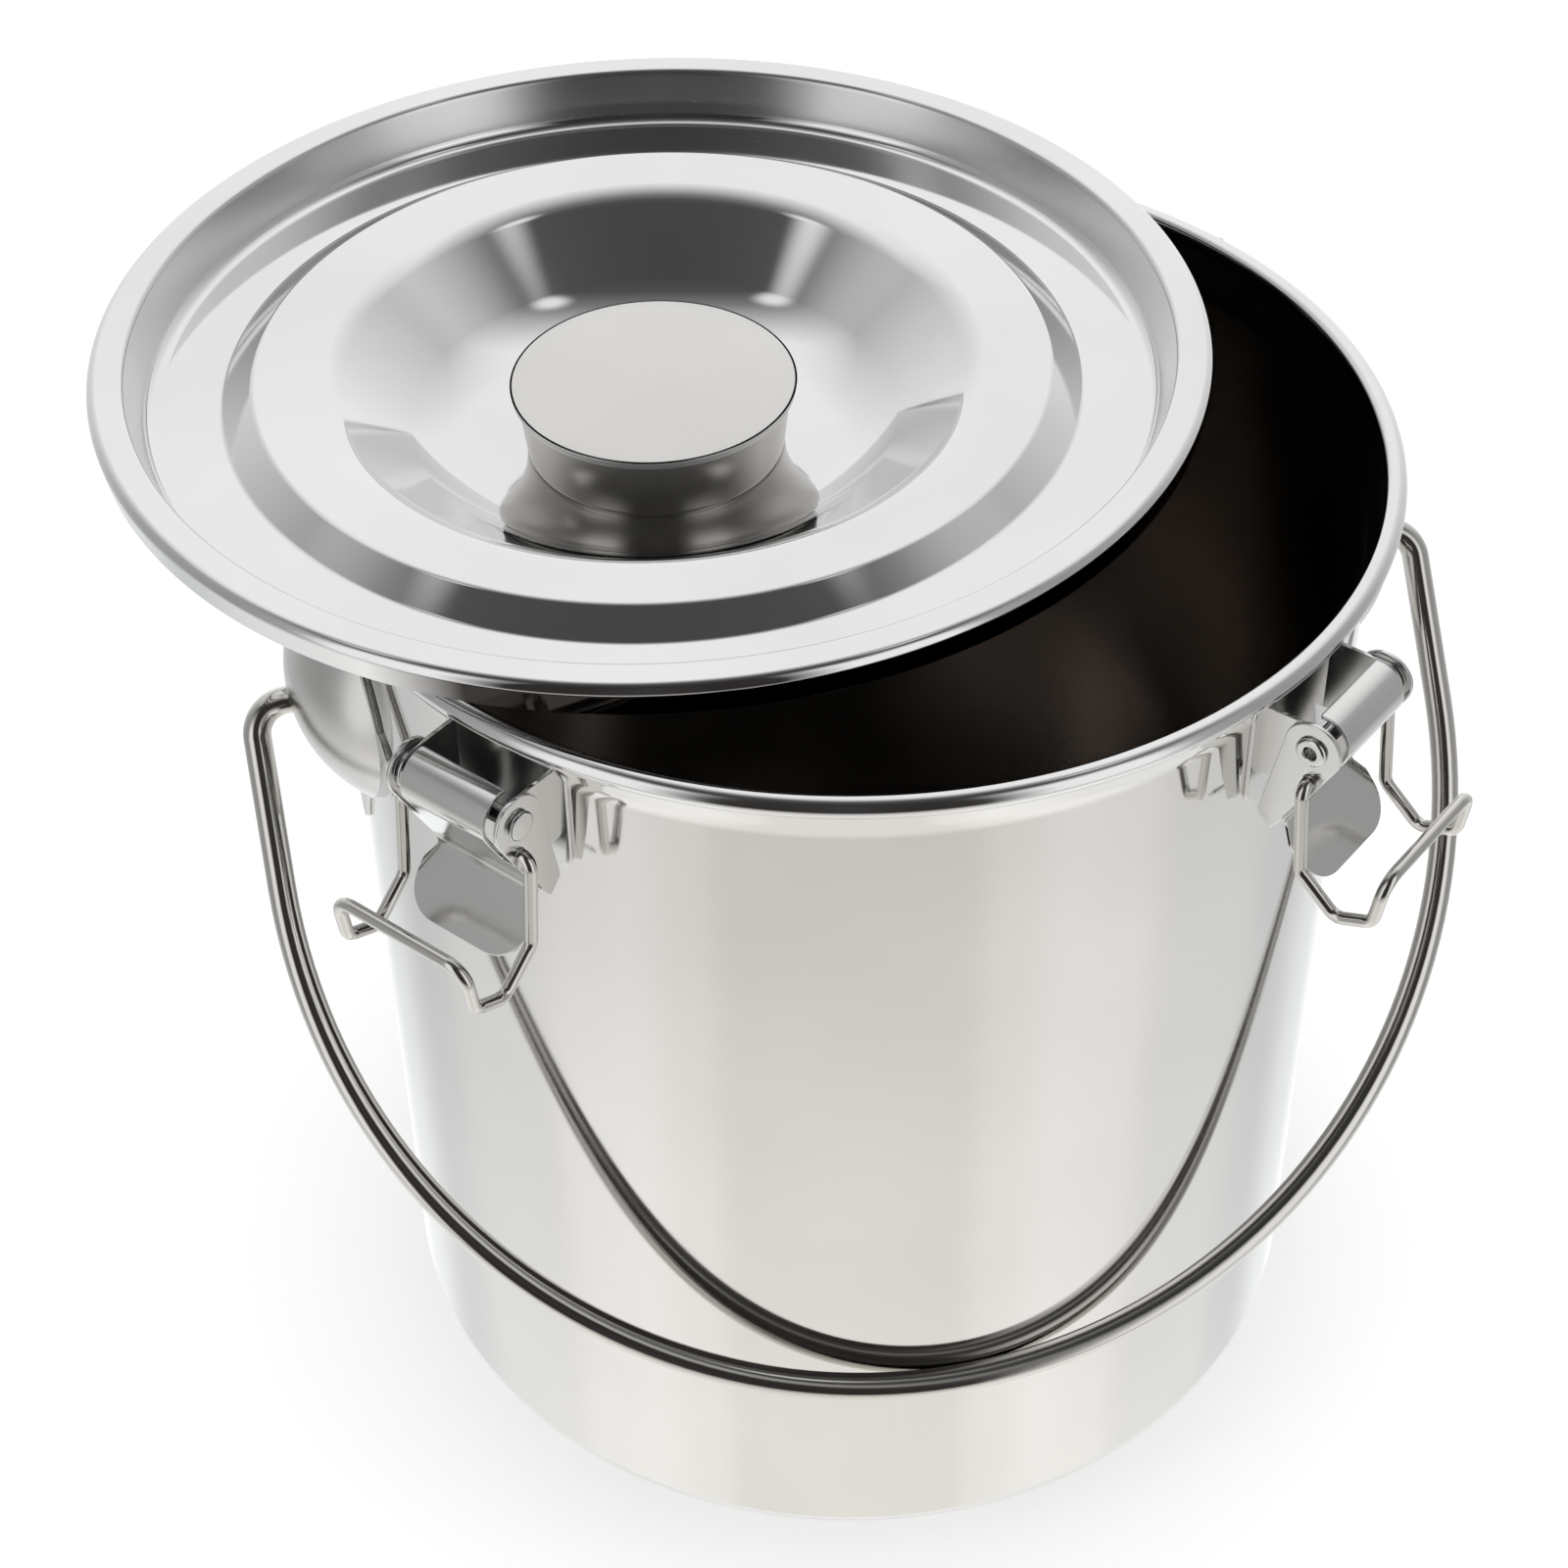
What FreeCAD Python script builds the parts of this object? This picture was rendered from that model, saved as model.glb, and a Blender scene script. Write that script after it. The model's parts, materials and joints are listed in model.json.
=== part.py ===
"""Milk pail: a drawn stainless pail with a bail, four toggle latches and a loose dished lid.

Millimetres. +Z is up, the origin is the centre of the base, +X runs along the bail's hinge axis
and the bail hangs against the wall on the -Y side. The lid rests askew across the rim, the latch
levers and their wire loops hang down.
"""
import FreeCAD, Part
import math
import os

V = FreeCAD.Vector
UP = V(0, 0, 1)
ORIGIN = V(0, 0, 0)
SIDES = (-1, 1)

# pail
PAIL_R = 100.0            # outside of the wall
SHEET = 0.8               # wall, floor and lid sheet
BEAD_Z = 207.6            # height of the rolled rim's centre
BEAD_R = 2.1              # rolled rim, outside radius of the tube
BEAD_RING_R = 103.35      # rolled rim, radius of the ring
CORNER_R = 2.0            # where the wall turns into the base
GROOVE_R = 68.0           # middle of the stiffening groove pressed up into the base
GROOVE_HALF_W = 8.0
GROOVE_H = 1.5
FLARE_H = 9.0             # height over which the wall opens out to the rim
CURL_END = -110.0         # where the rolled edge stops, in degrees round the tube

# lid: heights are above the top of the flat floor ring
LID_R = 108.7
LID_RIM_H = 10.6
LID_SKIRT_H = 4.3         # bottom of the skirt
LID_SKIRT_R = 107.7
LID_WALL_TOP_R = 101.5
LID_FLOOR_R = 98.1        # foot of the recess wall
LID_STEP_R = 84.0         # foot of the raised step
LID_PLATEAU_R = 77.5
LID_PLATEAU_H = 4.3
LID_BOWL_R = 64.8         # edge of the bowl, before rounding
LID_BOWL_FOOT_R = 38.3
LID_BOWL_H = -15.8        # floor of the bowl
LID_SHIFT = 43.2          # how far the lid sits off the pail's axis
LID_SHIFT_AZ = 138.9
SEAT_GAP = 0.03           # between the lid and what it touches
SEAL_R = 1.8

# lid knob
KNOB_R = 28.2
KNOB_NECK_R = 25.6
KNOB_FOOT_R = 24.6
KNOB_H = 14.9
KNOB_SHEET = 0.9
KNOB_CAP_SIDE = 3.2
SCREW_R = 3.0
SCREW_HEAD_R = 6.5
WASHER_R = 9.0

# bail and ears
HINGE_Z = BEAD_Z - 41.1
DOME_Z = BEAD_Z - 36.6    # centre of the ear's dome, a little above the hinge
EAR_SHEET = 1.0
DOME_R = 24.4             # across the dome where it meets the wall
DOME_H = 12.5             # from the pail's wall to the crown of the dome
FLANGE_MARGIN = 1.8
ROD_R = 2.75
ROD_GAP = 0.2             # running clearance in the ear
ROD_HEAD_R = 4.6
ROD_HEAD_H = 2.2
ROD_HEAD_X = 104.0
BAIL_BEND_R = 6.5
BAIL_HALF_W = 119.4
BAIL_STRAIGHT = 35.9      # straight part of each leg below the hinge axis
BAIL_WALL_GAP = 0.05

# latches: w is outwards from the wall, u is along the wall, h is above the pivot
LATCH_COUNT = 4
LATCH_FIRST_AZ = 39.0
PIVOT_W = 10.9
PIVOT_Z = BEAD_Z - 10.5
PLATE_HALF_U = 14.0
PLATE_TOP_H = 4.5
PLATE_BOTTOM_H = -18.6
BRACKET_SHEET = 0.9
BRACKET_HALF_U = 11.9     # outside of its side plates
BRACKET_NOSE_R = 4.3
LEVER_SHEET = 0.9
LEVER_HALF_U = 12.9       # outside of the cheeks
CHEEK_NOSE_R = 5.6
BARREL_HALF_U = 9.6
BARREL_START = 100.0      # degrees round the pivot, from straight out
BARREL_END = -29.0
TAB_BEND_R = 3.0
TAB_HALF_U = 13.3
TAB_CORNER_R = 7.0
RIVET_R = 1.7
RIVET_GAP = 0.06          # running clearance in the lever
RIVET_HEAD_R = 3.5
RIVET_HEAD_H = 0.9
EYELET_R = 3.0
EYELET_BORE_R = 1.3
SIDE_GAP = 0.08           # between faces that slide past each other
WIRE_R = 1.25
WIRE_GAP = 0.06
LOOP_HALF_U = 15.2
LOOP_TIP_U = 11.3
HOLE_W = 0.2              # the loop's hole in the cheek, from the pivot
HOLE_H = -6.9


def turn(a, b, c):
    """Signed angle, in radians, by which the path a-b-c turns left at b (2-D points)."""
    first = math.atan2(b[1] - a[1], b[0] - a[0])
    second = math.atan2(c[1] - b[1], c[0] - b[0])
    return (second - first + math.pi) % (2 * math.pi) - math.pi


def rounded(points, radii, place):
    """Edges of a path through 2-D points, its inner corners rounded; place(a, b) is in 3-D."""
    edges = []
    start = points[0]
    for i in range(1, len(points) - 1):
        a, b, c = points[i - 1], points[i], points[i + 1]
        angle = turn(a, b, c)
        radius = radii[i - 1]
        if radius <= 0 or abs(angle) < 1e-6:
            edges.append(Part.makeLine(place(*start), place(*b)))
            start = b
            continue
        cut = radius * math.tan(abs(angle) / 2)
        first = math.atan2(b[1] - a[1], b[0] - a[0])
        second = first + angle
        p = (b[0] - cut * math.cos(first), b[1] - cut * math.sin(first))
        q = (b[0] + cut * math.cos(second), b[1] + cut * math.sin(second))
        side = 1 if angle > 0 else -1
        centre = (p[0] - side * radius * math.sin(first), p[1] + side * radius * math.cos(first))
        middle = first + angle / 2 - side * math.pi / 2
        m = (centre[0] + radius * math.cos(middle), centre[1] + radius * math.sin(middle))
        edges.append(Part.makeLine(place(*start), place(*p)))
        edges.append(Part.Arc(place(*p), place(*m), place(*q)).toShape())
        start = q
    edges.append(Part.makeLine(place(*start), place(*points[-1])))
    return edges


def offset(points, radii, distance):
    """The same path moved left by distance: new 2-D points and the radii that stay concentric."""
    moved = []
    for i, p in enumerate(points):
        before = points[max(i - 1, 0)]
        after = points[min(i + 1, len(points) - 1)]
        if i in (0, len(points) - 1):
            heading = math.atan2(after[1] - before[1], after[0] - before[0])
            reach = distance
        else:
            half = turn(before, p, after) / 2
            heading = math.atan2(p[1] - before[1], p[0] - before[0]) + half
            reach = distance / math.cos(half)
        moved.append((p[0] - reach * math.sin(heading), p[1] + reach * math.cos(heading)))
    new_radii = []
    for i, radius in enumerate(radii):
        left = turn(points[i], points[i + 1], points[i + 2]) > 0
        new_radii.append(max(radius - distance if left else radius + distance, 0))
    return moved, new_radii


def sheet_face(points, radii, thickness, place):
    """Cross-section of a bent sheet: the path and its offset, closed at both ends."""
    far, far_radii = offset(points, radii, thickness)
    edges = rounded(points, radii, place)
    edges.append(Part.makeLine(place(*points[-1]), place(*far[-1])))
    edges += rounded(far[::-1], far_radii[::-1], place)
    edges.append(Part.makeLine(place(*far[0]), place(*points[0])))
    return Part.Face(Part.Wire(Part.__sortEdges__(edges)))


def outline_face(points, radii, place):
    """Closed flat face through 2-D points; radii round every corner, in the same order."""
    count = len(points)
    middle = [(points[0][0] + points[-1][0]) / 2, (points[0][1] + points[-1][1]) / 2]
    path = [tuple(middle)] + list(points) + [tuple(middle)]
    return Part.Face(Part.Wire(Part.__sortEdges__(rounded(path, radii[:count], place))))


def lathe(face, centre=ORIGIN, axis=UP):
    return face.revolve(centre, axis, 360)


def ring(outer, inner, low, high):
    """Upright tube between two heights."""
    tube = Part.makeCylinder(outer, high - low, V(0, 0, low))
    return tube.cut(Part.makeCylinder(inner, high - low, V(0, 0, low)))


def in_section(r, z):
    return V(r, 0, z)


def make_pail_body():
    """Base, wall and the opened-out neck in one sheet, with the rim rolled outwards over itself."""
    rim_inside = BEAD_RING_R - BEAD_R
    neck = rim_inside + SHEET
    wall_top = BEAD_Z - FLARE_H
    groove_in, groove_out = GROOVE_R - GROOVE_HALF_W, GROOVE_R + GROOVE_HALF_W
    points = [(0, 0), (groove_in, 0), (groove_in + 3.5, GROOVE_H), (groove_out - 3.5, GROOVE_H),
              (groove_out, 0), (PAIL_R, 0), (PAIL_R, wall_top), (neck, BEAD_Z - 1.2), (neck, BEAD_Z)]
    radii = [2.5, 2.5, 2.5, 2.5, CORNER_R, 12.0, 9.0]
    wall = lathe(sheet_face(points, radii, SHEET, in_section))

    def on_tube(radius, degrees):
        a = math.radians(degrees)
        return in_section(BEAD_RING_R + radius * math.cos(a), BEAD_Z + radius * math.sin(a))

    inner_r = BEAD_R - SHEET
    half_way = (180 + CURL_END) / 2
    outer_arc = Part.Arc(on_tube(BEAD_R, 180), on_tube(BEAD_R, half_way), on_tube(BEAD_R, CURL_END))
    inner_arc = Part.Arc(on_tube(inner_r, 180), on_tube(inner_r, half_way), on_tube(inner_r, CURL_END))
    caps = [Part.makeLine(on_tube(inner_r, a), on_tube(BEAD_R, a)) for a in (180, CURL_END)]
    edges = [outer_arc.toShape(), inner_arc.toShape()] + caps
    curl = lathe(Part.Face(Part.Wire(Part.__sortEdges__(edges))))
    return wall.fuse(curl).removeSplitter()


def lid_place(shape):
    """Move a lid part from its own frame (on the Z axis, floor ring at z = 0) to its rest place."""
    a = math.radians(LID_SHIFT_AZ)
    floor_top = BEAD_Z + BEAD_R + SEAT_GAP + SHEET
    shape.translate(V(LID_SHIFT * math.cos(a), LID_SHIFT * math.sin(a), floor_top))
    return shape


def make_lid_shell():
    """Spun lid: hanging skirt, rounded rim, recess with a flat floor ring, plateau and deep bowl."""
    points = [(SCREW_R, LID_BOWL_H), (LID_BOWL_FOOT_R, LID_BOWL_H), (LID_BOWL_R, LID_PLATEAU_H),
              (LID_PLATEAU_R, LID_PLATEAU_H), (LID_STEP_R, 0), (LID_FLOOR_R, 0),
              (LID_WALL_TOP_R, LID_RIM_H), (LID_R, LID_RIM_H), (LID_SKIRT_R, LID_SKIRT_H)]
    radii = [36.0, 14.0, 2.4, 2.0, 3.0, 1.6, 2.0]
    return lid_place(lathe(sheet_face(points, radii, -SHEET, in_section)))


def make_lid_seal():
    """Silicone ring under the lid's rim, where it would press on the pail's rolled rim."""
    ring_r = (LID_WALL_TOP_R + LID_R) / 2 - 0.3
    height = LID_RIM_H - SHEET - SEAL_R - SEAT_GAP
    return lid_place(Part.makeTorus(ring_r, SEAL_R, V(0, 0, height)))


def make_knob_cup():
    """Tapered side of the knob, with a foot turned in on the bowl's floor."""
    top = LID_BOWL_H + KNOB_H - KNOB_CAP_SIDE
    points = [(KNOB_FOOT_R - 6, LID_BOWL_H), (KNOB_FOOT_R, LID_BOWL_H), (KNOB_NECK_R + 0.4, top + 2.0)]
    return lid_place(lathe(sheet_face(points, [1.2], KNOB_SHEET, in_section)))


def make_knob_cap():
    """Flat top of the knob: its edge is rounded and turned back down over the cup."""
    top = LID_BOWL_H + KNOB_H
    points = [(0, top), (KNOB_R, top), (KNOB_R - 0.1, top - 1.9), (KNOB_NECK_R + 0.95, top - 2.9)]
    disc = lathe(sheet_face(points, [0.95, 0.6], -KNOB_SHEET, in_section))
    boss = Part.makeCylinder(SCREW_R + 2, KNOB_H - KNOB_SHEET, V(0, 0, LID_BOWL_H))
    boss = boss.cut(Part.makeCylinder(SCREW_R, 9, V(0, 0, LID_BOWL_H)))
    return lid_place(disc.fuse(boss))


def make_knob_washer():
    top = LID_BOWL_H - SHEET
    return lid_place(ring(WASHER_R, SCREW_R, top - 1.2, top))


def make_knob_screw():
    """Domed screw that goes up through washer and bowl into the knob's boss."""
    seat = LID_BOWL_H - SHEET - 1.2
    shank = Part.makeCylinder(SCREW_R, 9.5, V(0, 0, seat))
    head = Part.makeCylinder(SCREW_HEAD_R, 2.6, V(0, 0, seat - 2.6))
    head = head.makeFillet(1.8, [e for e in head.Edges if abs(e.BoundBox.ZMax - seat + 2.6) < 0.01])
    slot = Part.makeBox(1.2, 2 * SCREW_HEAD_R, 1.1, V(-0.6, -SCREW_HEAD_R, seat - 2.6))
    return lid_place(shank.fuse(head).cut(slot))


def spade_outline():
    """Solid along X whose section is the ear's flange: a round top, two lobes and a tongue."""
    reach = PAIL_R + 10
    start = V(PAIL_R * 0.6, 0, 0)

    def flat(points, radii):
        face = outline_face(points, radii, lambda y, z: start + V(0, y, DOME_Z + z))
        return face.extrude(V(reach, 0, 0))

    solid = Part.makeCylinder(DOME_R + FLANGE_MARGIN, reach, start + V(0, 0, DOME_Z), V(1, 0, 0))
    lobes = [(-29.5, 2.5), (-28.5, -9.0), (28.5, -9.0), (29.5, 2.5), (17, 15), (-17, 15)]
    solid = solid.fuse(flat(lobes, [5, 5, 5, 5, 3, 3]))
    tongue = [(-13, -21.5), (-5.5, -33.5), (5.5, -33.5), (13, -21.5)]
    return solid.fuse(flat(tongue, [0, 4, 4, 0])).removeSplitter()


def make_ear(side):
    """Pressed ear: a domed cup over the end of the bail on a spade-shaped flange welded to the wall."""
    ball_r = (DOME_R ** 2 + DOME_H ** 2) / (2 * DOME_H)
    centre = V(PAIL_R + DOME_H - ball_r, 0, DOME_Z)
    inside = Part.makeSphere(ball_r - EAR_SHEET, centre)
    dome = Part.makeSphere(ball_r, centre).cut([inside, Part.makeCylinder(PAIL_R, BEAD_Z)])
    shell = ring(PAIL_R + EAR_SHEET, PAIL_R, 0, BEAD_Z)
    flange = shell.common(spade_outline()).cut(inside)
    ear = dome.fuse(flange)
    ear = ear.cut(Part.makeCylinder(ROD_R + ROD_GAP, 2 * DOME_H, V(PAIL_R, 0, HINGE_Z), V(1, 0, 0))).removeSplitter()
    if side < 0:
        ear.rotate(ORIGIN, UP, 180)
    return ear


def bail_tilt():
    """Angle of the hanging bail from straight down, with its lowest point against the wall."""
    depth = BAIL_STRAIGHT + BAIL_HALF_W
    return math.degrees(math.asin((PAIL_R + ROD_R + BAIL_WALL_GAP) / depth))


def make_bail():
    """One round rod: a half circle, two straight legs and ends bent in through the ears."""
    def flat(x, z):
        return V(x, 0, HINGE_Z + z)

    tip = ROD_HEAD_X
    leg = [(tip, 0), (BAIL_HALF_W, 0), (BAIL_HALF_W, -BAIL_STRAIGHT)]
    right = rounded(leg, [BAIL_BEND_R], flat)
    left = rounded([(-x, z) for x, z in leg], [BAIL_BEND_R], flat)
    low = flat(0, -BAIL_STRAIGHT - BAIL_HALF_W)
    arc = Part.Arc(flat(BAIL_HALF_W, -BAIL_STRAIGHT), low, flat(-BAIL_HALF_W, -BAIL_STRAIGHT))
    path = Part.Wire(Part.__sortEdges__(right + [arc.toShape()] + left))
    circle = Part.Wire(Part.makeCircle(ROD_R, flat(tip, 0), V(1, 0, 0)))
    rod = path.makePipeShell([circle], True, True)
    heads = [Part.makeCylinder(ROD_HEAD_R, ROD_HEAD_H, flat(s * tip, 0), V(s, 0, 0)) for s in SIDES]
    bail = rod.fuse(heads).removeSplitter()
    bail.rotate(V(0, 0, HINGE_Z), V(1, 0, 0), -bail_tilt())
    return bail


def in_latch(w, h):
    """Point of a latch's side view, in its middle plane at azimuth 0."""
    return V(PAIL_R + PIVOT_W + w, 0, PIVOT_Z + h)


def between(face, low_u, high_u):
    """Solid of a side-view face from one place along the wall to another."""
    solid = face.extrude(V(0, high_u - low_u, 0))
    solid.translate(V(0, low_u, 0))
    return solid


def across(radius, low_u, high_u, w=0.0, h=0.0):
    """Cylinder along the wall, through a place in the side view."""
    return Part.makeCylinder(radius, high_u - low_u, in_latch(w, h) + V(0, low_u, 0), V(0, 1, 0))


def make_latch_base():
    """Wall plate bent to the pail's curve with two side plates that carry the rivet."""
    height = PLATE_TOP_H - PLATE_BOTTOM_H
    shell = ring(PAIL_R + BRACKET_SHEET, PAIL_R, PIVOT_Z + PLATE_BOTTOM_H, PIVOT_Z + PLATE_TOP_H)
    block = Part.makeBox(40, 2 * PLATE_HALF_U, height, V(80, -PLATE_HALF_U, PIVOT_Z + PLATE_BOTTOM_H))
    along_x = [e for e in block.Edges if e.BoundBox.XLength > 39]
    base = shell.common(block.makeFillet(3.0, along_x))
    root_w = -PIVOT_W - 1.5
    side = [(root_w, BRACKET_NOSE_R), (root_w, -11.5), (-8.6, -11.5), (0.6, -BRACKET_NOSE_R), (0, BRACKET_NOSE_R)]
    face = outline_face(side, [0, 0, 2.0, 0, 0], in_latch)
    for s in SIDES:
        outer, inner = s * BRACKET_HALF_U, s * (BRACKET_HALF_U - BRACKET_SHEET)
        low, high = min(outer, inner), max(outer, inner)
        plate = between(face, low, high).fuse(across(BRACKET_NOSE_R, low, high))
        base = base.fuse(plate.cut(Part.makeCylinder(PAIL_R, BEAD_Z)))
    base = base.cut(across(RIVET_R, -20, 20)).removeSplitter()
    return base.cut(make_pail_body())


def lever_path():
    """Middle of the lever's front sheet in the side view: web from the barrel, then the thumb tab."""
    leave = math.radians(BARREL_END)
    r = CHEEK_NOSE_R - LEVER_SHEET / 2
    return [(r * math.cos(leave), r * math.sin(leave)), (-4.8, -19.5), (4.8, -30.9)]


def short_of(p, q, distance):
    """Point on the line from p to q that stops a distance before q."""
    length = math.hypot(q[0] - p[0], q[1] - p[1])
    k = (length - distance) / length
    return (p[0] + k * (q[0] - p[0]), p[1] + k * (q[1] - p[1]))


def make_barrel():
    """Sheet rolled round the rivet, between two angles of the side view."""
    tube = across(CHEEK_NOSE_R, -BARREL_HALF_U, BARREL_HALF_U)
    tube = tube.cut(across(CHEEK_NOSE_R - LEVER_SHEET, -BARREL_HALF_U, BARREL_HALF_U))
    far = 30
    low, high = math.radians(BARREL_END), math.radians(BARREL_START)
    corner = (far * math.cos(low), far * math.sin(low))
    keep = [(0, 0), corner, (far, far), (far * math.cos(high), far * math.sin(high))]
    return tube.common(between(outline_face(keep, [0] * 4, in_latch), -far, far))


def make_lever():
    """Lever: two cheeks on the rivet, a barrel rolled round it, a web and a flared thumb tab."""
    path = lever_path()
    root = path[1]
    front, front_radii = offset(path, [TAB_BEND_R], LEVER_SHEET / 2)
    web = sheet_face(front, front_radii, -LEVER_SHEET, in_latch)
    lever = between(web, -TAB_HALF_U, TAB_HALF_U).common(lever_outline(root, path[2])).fuse(make_barrel())

    low_front = short_of(front[0], front[1], 2.4)
    side = [(-CHEEK_NOSE_R, 0), (-9.4, -18.8), (-6.4, -21.8), low_front, front[0], (0, 0)]
    face = outline_face(side, [0, 2.0, 0, 0, 0, 0], in_latch)
    for s in SIDES:
        outer, inner = s * LEVER_HALF_U, s * (LEVER_HALF_U - LEVER_SHEET)
        low, high = min(outer, inner), max(outer, inner)
        lever = lever.fuse(between(face, low, high).fuse(across(CHEEK_NOSE_R, low, high)))
    lever = lever.cut(across(RIVET_R + RIVET_GAP, -LEVER_HALF_U, LEVER_HALF_U))
    lever = lever.cut(across(WIRE_R + WIRE_GAP, -LEVER_HALF_U, LEVER_HALF_U, HOLE_W, HOLE_H))
    return lever.removeSplitter()


def lever_outline(root, tip):
    """Block that trims the lever's sheet: slots beside the barrel, a waist and a rounded tab."""
    slot_h = -8.6
    waist_u = LEVER_HALF_U - 1.6
    half = [(BARREL_HALF_U, 2.0), (BARREL_HALF_U, slot_h), (LEVER_HALF_U, slot_h - 1.2),
            (LEVER_HALF_U, root[1] + 0.6), (waist_u, root[1] - 1.0)]
    radii = [0, 0.8, 0, 0, 0]
    web = mirrored_face(half, radii, lambda u, h: V(80, u, PIVOT_Z + h)).extrude(V(60, 0, 0))

    length = math.hypot(tip[0] - root[0], tip[1] - root[1])
    out = ((tip[0] - root[0]) / length, (tip[1] - root[1]) / length)
    reach = 5.0

    def on_tab(u, d):
        return in_latch(root[0] + d * out[0] + reach * out[1], root[1] + d * out[1] - reach * out[0]) + V(0, u, 0)

    half = [(waist_u, -1.5), (waist_u, 1.2), (TAB_HALF_U, 4.4), (TAB_HALF_U, length)]
    tab = mirrored_face(half, [0, 1.0, 2.0, TAB_CORNER_R], on_tab)
    return web.fuse(tab.extrude(V(-out[1], 0, out[0]) * 2 * reach))


def mirrored_face(half, radii, place):
    """Face with the outline given for its +u half, and the same outline at -u."""
    points = half + [(-u, h) for u, h in half[::-1]]
    return outline_face(points, radii + radii[::-1], place)


def make_rivet():
    """Tubular rivet: a low domed head on one side, a rolled eyelet on the other."""
    end = LEVER_HALF_U + SIDE_GAP
    shank = across(RIVET_R, -end, end)
    head = across(RIVET_HEAD_R, end, end + RIVET_HEAD_H)
    head = head.makeFillet(RIVET_HEAD_H * 0.9, outer_edges(head, end + RIVET_HEAD_H))
    eyelet = across(EYELET_R, -end - RIVET_HEAD_H, -end)
    eyelet = eyelet.makeFillet(RIVET_HEAD_H * 0.8, outer_edges(eyelet, -end - RIVET_HEAD_H))
    bore = across(EYELET_BORE_R, -end - RIVET_HEAD_H, -2.0)
    return shank.fuse([head, eyelet]).cut(bore)


def outer_edges(shape, u):
    """Round edges of a shape that lie at one place along the wall."""
    return [e for e in shape.Edges if abs(e.BoundBox.YMin - u) < 0.01 and abs(e.BoundBox.YMax - u) < 0.01]


def make_loop():
    """Wire loop: tips in the cheeks' holes, legs down, then out and up to the hook's crossbar."""
    hole = in_latch(HOLE_W, HOLE_H)
    bends = [(0, 0), (1.7, -18.9), (9.8, -25.8), (17.0, -22.8), (18.4, -12.6)]
    right = [hole + V(w, LOOP_HALF_U, h) for w, h in bends]
    left = [hole + V(w, -LOOP_HALF_U, h) for w, h in bends[::-1]]
    tips = [hole + V(0, s * LOOP_TIP_U, 0) for s in SIDES]
    points = [tips[1]] + right + left + [tips[0]]
    radii = [2.2, 3.0, 3.0, 3.0, 4.0, 4.0, 3.0, 3.0, 3.0, 2.2]
    path = Part.Wire(Part.__sortEdges__(rounded_in_space(points, radii)))
    circle = Part.Wire(Part.makeCircle(WIRE_R, tips[1], V(0, 1, 0)))
    return path.makePipeShell([circle], True, True)


def rounded_in_space(points, radii):
    """Edges of a 3-D path with rounded corners."""
    edges = []
    start = points[0]
    for i in range(1, len(points) - 1):
        b = points[i]
        into = (b - points[i - 1]).normalize()
        out = (points[i + 1] - b).normalize()
        angle = into.getAngle(out)
        cut = radii[i - 1] * math.tan(angle / 2)
        p = b - into * cut
        q = b + out * cut
        inward = (out - into).normalize()
        m = b + inward * (radii[i - 1] / math.cos(angle / 2) - radii[i - 1])
        edges.append(Part.makeLine(start, p))
        edges.append(Part.Arc(p, m, q).toShape())
        start = q
    edges.append(Part.makeLine(start, points[-1]))
    return edges


def make_all():
    parts = {
        "pail_body": make_pail_body(),
        "bail_ear_right": make_ear(1),
        "bail_ear_left": make_ear(-1),
        "bail_handle": make_bail(),
        "lid_shell": make_lid_shell(),
        "lid_seal": make_lid_seal(),
        "knob_cup": make_knob_cup(),
        "knob_cap": make_knob_cap(),
        "knob_washer": make_knob_washer(),
        "knob_screw": make_knob_screw(),
    }
    latch = {
        "latch_base": make_latch_base(),
        "latch_lever": make_lever(),
        "latch_rivet": make_rivet(),
        "latch_loop": make_loop(),
    }
    for i in range(LATCH_COUNT):
        for name, shape in latch.items():
            copy = shape.copy()
            copy.rotate(ORIGIN, UP, LATCH_FIRST_AZ + i * 360 / LATCH_COUNT)
            parts[f"{name}_{i + 1}"] = copy
    return parts


os.makedirs("parts", exist_ok=True)
for node, solid in make_all().items():
    assert len(solid.Solids) == 1 and solid.isValid(), node
    solid.exportStep(f"parts/{node}.step")
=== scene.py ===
"""Looks of the milk pail: polished sheet, satin ears and knob, wire loops and bail, on a pale floor.

Lengths below are in millimetres unless a name says otherwise; meshes are scaled to metres when made.
"""
import json
import math

import bmesh
import bpy
from mathutils import Matrix, Vector

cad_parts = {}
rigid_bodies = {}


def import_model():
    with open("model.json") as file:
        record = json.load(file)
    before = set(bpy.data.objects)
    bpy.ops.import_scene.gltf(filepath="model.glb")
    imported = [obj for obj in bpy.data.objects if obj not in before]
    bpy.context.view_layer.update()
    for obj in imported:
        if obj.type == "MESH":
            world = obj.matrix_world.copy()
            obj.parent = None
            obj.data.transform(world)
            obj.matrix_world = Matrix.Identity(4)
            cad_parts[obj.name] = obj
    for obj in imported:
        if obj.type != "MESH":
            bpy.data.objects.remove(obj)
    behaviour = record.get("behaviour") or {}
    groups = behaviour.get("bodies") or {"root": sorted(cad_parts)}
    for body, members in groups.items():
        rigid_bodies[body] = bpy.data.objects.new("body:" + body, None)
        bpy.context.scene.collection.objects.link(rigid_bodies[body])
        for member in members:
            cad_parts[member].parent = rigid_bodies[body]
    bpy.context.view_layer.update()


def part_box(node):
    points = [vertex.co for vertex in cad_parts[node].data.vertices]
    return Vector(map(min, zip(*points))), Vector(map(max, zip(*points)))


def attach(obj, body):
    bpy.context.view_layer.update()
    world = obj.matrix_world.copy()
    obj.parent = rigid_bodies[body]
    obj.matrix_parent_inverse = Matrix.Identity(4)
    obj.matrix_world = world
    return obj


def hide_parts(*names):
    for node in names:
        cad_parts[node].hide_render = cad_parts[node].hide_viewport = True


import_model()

MM = 0.001
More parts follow.
